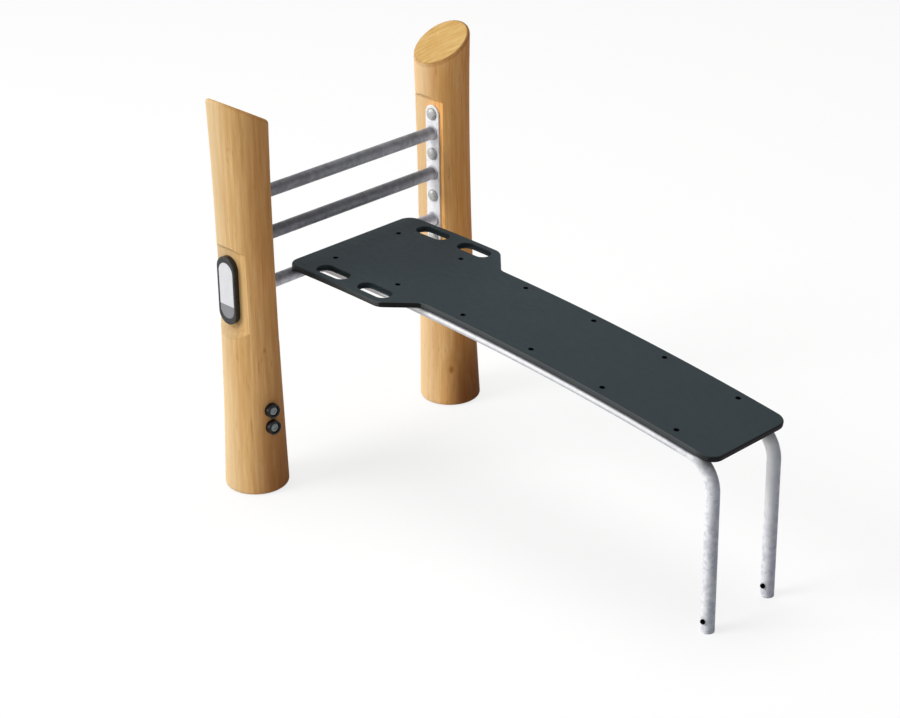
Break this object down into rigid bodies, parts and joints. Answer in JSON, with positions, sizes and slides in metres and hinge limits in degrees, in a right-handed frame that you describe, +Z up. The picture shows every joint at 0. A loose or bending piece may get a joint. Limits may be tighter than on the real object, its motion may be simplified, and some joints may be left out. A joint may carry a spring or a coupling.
{
  "type": "sit-up bench",
  "caption": "Outdoor sit-up bench: a long curved board on bent steel tubes that start at foot rungs held between timber posts.",
  "frame": {"origin": "centre of the footprint's bounding box, on the ground plane", "axes": "+X along the bench from the posts to the front legs, +Y to the far post, +Z up"},
  "size_m": [1.6009, 0.9808, 1.1912],
  "materials": {
    "timber": "debarked and sanded, oiled",
    "galvanised_steel": "hot-dip galvanised, matt with a faint spangle",
    "zinc_fastener": "zinc plated, dull",
    "bright_steel": "plain, satin",
    "black_fastener": "blackened",
    "bench_panel": "fine matt texture, slate grey",
    "black_plastic": "moulded, satin",
    "sign_panel": "bare, pale"
  },
  "bodies": {
    "root": {"bench_board": "bench_panel", "bottom_rung": "galvanised_steel", "far_bench_tube": "galvanised_steel", "far_board_bolt_1": "black_fastener", "far_board_bolt_2": "black_fastener", "far_board_bolt_3": "black_fastener", "far_board_bolt_4": "black_fastener", "far_board_bolt_5": "black_fastener", "far_board_bolt_6": "black_fastener", "far_board_bush_1": "bright_steel", "far_board_bush_2": "bright_steel", "far_board_bush_3": "bright_steel", "far_board_bush_4": "bright_steel", "far_board_bush_5": "bright_steel", "far_board_bush_6": "bright_steel", "far_foot_spigot": "bright_steel", "far_leg_bolt": "black_fastener", "far_plate_bolt_1": "zinc_fastener", "far_plate_bolt_2": "zinc_fastener", "far_plate_bolt_3": "zinc_fastener", "far_plate_bolt_4": "zinc_fastener", "far_post": "timber", "far_rung_plate": "galvanised_steel", "lower_cup_bolt": "zinc_fastener", "lower_post_cup": "black_plastic", "lower_sign_screw": "bright_steel", "middle_rung": "galvanised_steel", "near_bench_tube": "galvanised_steel", "near_board_bolt_1": "black_fastener", "near_board_bolt_2": "black_fastener", "near_board_bolt_3": "black_fastener", "near_board_bolt_4": "black_fastener", "near_board_bolt_5": "black_fastener", "near_board_bolt_6": "black_fastener", "near_board_bush_1": "bright_steel", "near_board_bush_2": "bright_steel", "near_board_bush_3": "bright_steel", "near_board_bush_4": "bright_steel", "near_board_bush_5": "bright_steel", "near_board_bush_6": "bright_steel", "near_foot_spigot": "bright_steel", "near_leg_bolt": "black_fastener", "near_plate_bolt_1": "zinc_fastener", "near_plate_bolt_2": "zinc_fastener", "near_plate_bolt_3": "zinc_fastener", "near_plate_bolt_4": "zinc_fastener", "near_post": "timber", "near_rung_plate": "galvanised_steel", "sign_holder": "black_plastic", "sign_panel": "sign_panel", "top_rung": "galvanised_steel", "upper_cup_bolt": "zinc_fastener", "upper_post_cup": "black_plastic", "upper_sign_screw": "bright_steel"}
  },
  "joints": []
}
